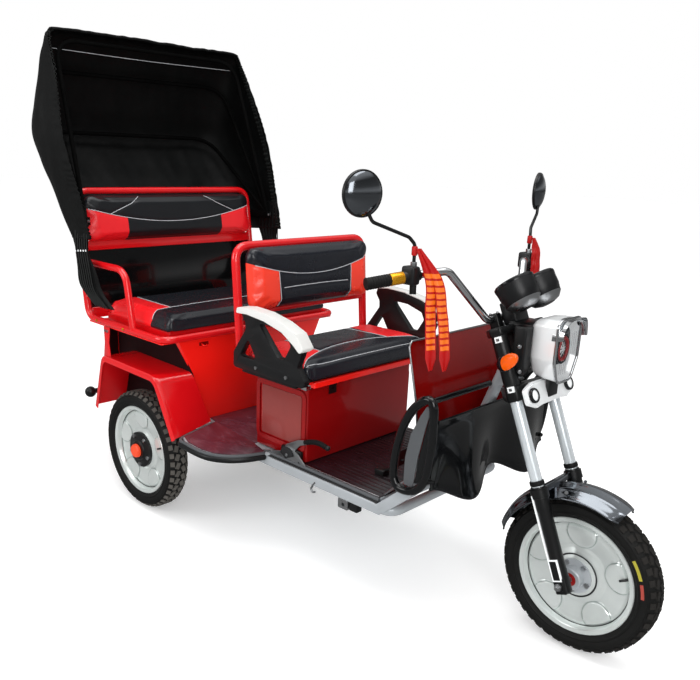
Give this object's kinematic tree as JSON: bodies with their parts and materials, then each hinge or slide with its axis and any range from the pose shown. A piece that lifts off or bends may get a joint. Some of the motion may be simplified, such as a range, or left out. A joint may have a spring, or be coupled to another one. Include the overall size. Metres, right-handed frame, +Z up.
{
  "type": "electric rickshaw",
  "caption": "Electric passenger rickshaw with a folding hood over the rear bench, a tipping driver's bench, a motorcycle fork with handlebar, and a steel body over a powered axle.",
  "frame": {"origin": "middle of the bounding box at ground level, on the vehicle's centre plane", "axes": "+X forward along the length, +Y to the vehicle's left, +Z up"},
  "size_m": [2.455, 0.9496, 1.702],
  "materials": {
    "red_paint": "gloss",
    "maroon_paint": "gloss",
    "grey_steel": "satin",
    "black_paint": "gloss",
    "black_plastic": "satin",
    "black_vinyl": "satin",
    "black_fabric": "matte",
    "floor_mat": "gloss",
    "chrome": "polished",
    "zinc_wheel": "satin",
    "tyre_rubber": "matte",
    "orange_lens": "gloss",
    "red_lens": "gloss",
    "battery_case": "matte"
  },
  "bodies": {
    "chassis": {"frame": "grey_steel", "floor": "floor_mat", "seat_box_front": "maroon_paint", "rear_box": "red_paint", "fender_left": "red_paint", "fender_right": "red_paint", "seat_frame_rear": "red_paint", "seatback_rear": "black_vinyl", "back_panel_rear": "black_vinyl", "hood_bows": "black_paint", "hood_cover": "black_fabric", "leg_shield": "red_paint", "front_guard": "black_paint", "battery_pack": "battery_case", "rear_axle": "black_paint", "handbrake": "chrome", "brake_pedal": "black_paint", "tail_lamp_bar": "red_lens", "rear_bumper": "black_paint"},
    "front_seat": {"seat_pan_front": "red_paint", "cushion_front": "black_vinyl", "seat_frame_front": "red_paint", "seatback_front": "black_vinyl", "armrest_left": "black_plastic", "armrest_right": "black_plastic"},
    "rear_seat_lid": {"seat_pan_rear": "red_paint", "cushion_rear": "black_vinyl"},
    "steering": {"fork_crown": "black_paint", "fork_leg_left": "chrome", "fork_leg_right": "chrome", "handlebar": "chrome", "grip_left": "black_plastic", "grip_right": "black_plastic", "mirror_left": "chrome", "mirror_right": "chrome", "headlamp": "chrome", "gauge_pods": "black_plastic", "turn_signals": "orange_lens", "front_fender": "chrome"},
    "front_wheel": {"tyre_front": "tyre_rubber", "wheel_front": "zinc_wheel"},
    "rear_wheel_left": {"tyre_rear_left": "tyre_rubber", "wheel_rear_left": "zinc_wheel"},
    "rear_wheel_right": {"tyre_rear_right": "tyre_rubber", "wheel_rear_right": "zinc_wheel"}
  },
  "joints": [
    {"name": "steering_turn", "type": "hinge", "parent": "chassis", "child": "steering", "pos_m": [0.8515, 0, 0.4538], "axis": [-0.3955, 0, 0.9185], "range_deg": [-40, 40]},
    {"name": "front_wheel_spin", "type": "hinge", "parent": "steering", "child": "front_wheel", "pos_m": [1.0025, 0, 0.225], "axis": [0, 1, 0], "continuous": true},
    {"name": "rear_wheel_left_spin", "type": "hinge", "parent": "chassis", "child": "rear_wheel_left", "pos_m": [-0.5395, 0.391, 0.225], "axis": [0, 1, 0], "continuous": true},
    {"name": "rear_wheel_right_spin", "type": "hinge", "parent": "chassis", "child": "rear_wheel_right", "pos_m": [-0.5395, -0.391, 0.225], "axis": [0, 1, 0], "continuous": true},
    {"name": "front_seat_tip", "type": "hinge", "parent": "chassis", "child": "front_seat", "pos_m": [-0.0695, 0, 0.606], "axis": [0, -1, 0], "range_deg": [0, 40]},
    {"name": "rear_seat_lift", "type": "hinge", "parent": "chassis", "child": "rear_seat_lid", "pos_m": [-0.8015, 0, 0.7], "axis": [0, -1, 0], "range_deg": [0, 60]}
  ]
}
